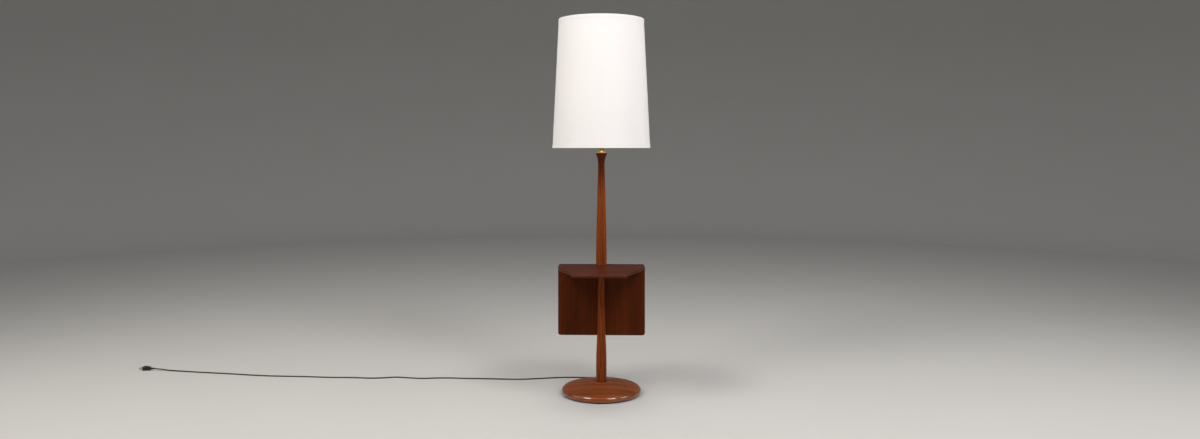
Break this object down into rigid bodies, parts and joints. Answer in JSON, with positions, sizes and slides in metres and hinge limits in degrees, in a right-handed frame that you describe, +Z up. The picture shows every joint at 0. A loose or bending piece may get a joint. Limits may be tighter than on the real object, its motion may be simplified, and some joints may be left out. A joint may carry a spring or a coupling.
{
  "type": "floor lamp with table",
  "caption": "Turned wooden floor lamp with a tall tapered drum shade, and on its post a waisted board tray with a magazine rack behind it.",
  "frame": {"origin": "on the floor under the axis of the post, at the centre of the felt's underside", "axes": "+Z up along the post; -Y the way the tray points, the front of the lamp; +X to the right seen from the front"},
  "size_m": [2.2135, 0.6285, 1.4836],
  "materials": {
    "turned_wood": "oiled, satin",
    "board_wood": "oiled, satin",
    "inner_wood": "sanded",
    "weight_iron": "black, rough",
    "felt": "dense felt",
    "zinc_steel": "zinc plated",
    "polished_brass": "polished",
    "harp_brass": "plated wire",
    "contact_brass": "stamped",
    "moulded_black": "moulded",
    "insulating_card": "card",
    "knob_plastic": "glossy",
    "cord_jacket": "smooth, dark brown",
    "blade_metal": "stamped",
    "frosted_glass": "inside frosted",
    "bulb_metal": "rolled",
    "shade_cloth": "white linen on a stiff sheet",
    "trim_cloth": "folded tape",
    "frame_wire": "white enamel"
  },
  "bodies": {
    "stand": {"base_disc": "turned_wood", "lower_post": "turned_wood", "upper_post": "turned_wood", "tray": "board_wood", "rack_front": "board_wood", "rack_back": "board_wood", "rack_floor": "board_wood", "tray_cleats": "inner_wood", "post_spacers": "inner_wood", "base_weight": "weight_iron", "base_felt": "felt", "weight_screws": "zinc_steel", "cleat_screws": "zinc_steel", "post_screws": "zinc_steel", "rack_screws": "zinc_steel", "base_washer": "zinc_steel", "base_nut": "zinc_steel", "lamp_pipe": "zinc_steel", "check_ring": "polished_brass", "neck_tube": "polished_brass", "socket_cap": "polished_brass", "socket_shell": "polished_brass", "harp_bow": "harp_brass", "harp_saddle": "harp_brass", "screw_shell": "contact_brass", "centre_contact": "contact_brass", "terminal_screws": "contact_brass", "socket_core": "moulded_black", "cord_bushing": "moulded_black", "plug_body": "moulded_black", "socket_liner": "insulating_card", "power_cord": "cord_jacket", "inner_lead": "cord_jacket", "plug_blades": "blade_metal", "bulb_glass": "frosted_glass", "bulb_cap": "bulb_metal", "bulb_tip": "bulb_metal"},
    "knob": {"switch_shaft": "zinc_steel", "switch_knob": "knob_plastic"},
    "shade": {"shade_skin": "shade_cloth", "shade_top_trim": "trim_cloth", "shade_bottom_trim": "trim_cloth", "shade_top_wire": "frame_wire", "shade_bottom_wire": "frame_wire", "swivel_stud": "polished_brass", "finial": "polished_brass"},
    "sleeve_left": {"harp_sleeve_left": "harp_brass"},
    "sleeve_right": {"harp_sleeve_right": "harp_brass"}
  },
  "joints": [
    {"name": "switch_turn", "type": "hinge", "parent": "stand", "child": "knob", "pos_m": [0, -0.02, 1.1108], "axis": [0, -1, 0], "continuous": true},
    {"name": "shade_swivel", "type": "hinge", "parent": "stand", "child": "shade", "pos_m": [0, 0, 1.455], "axis": [0, 0, 1], "continuous": true},
    {"name": "sleeve_left_slide", "type": "slide", "parent": "stand", "child": "sleeve_left", "axis": [0, 0, 1], "range_m": [0, 0.012]},
    {"name": "sleeve_right_slide", "type": "slide", "parent": "stand", "child": "sleeve_right", "axis": [0, 0, 1], "range_m": [0, 0.012]}
  ]
}
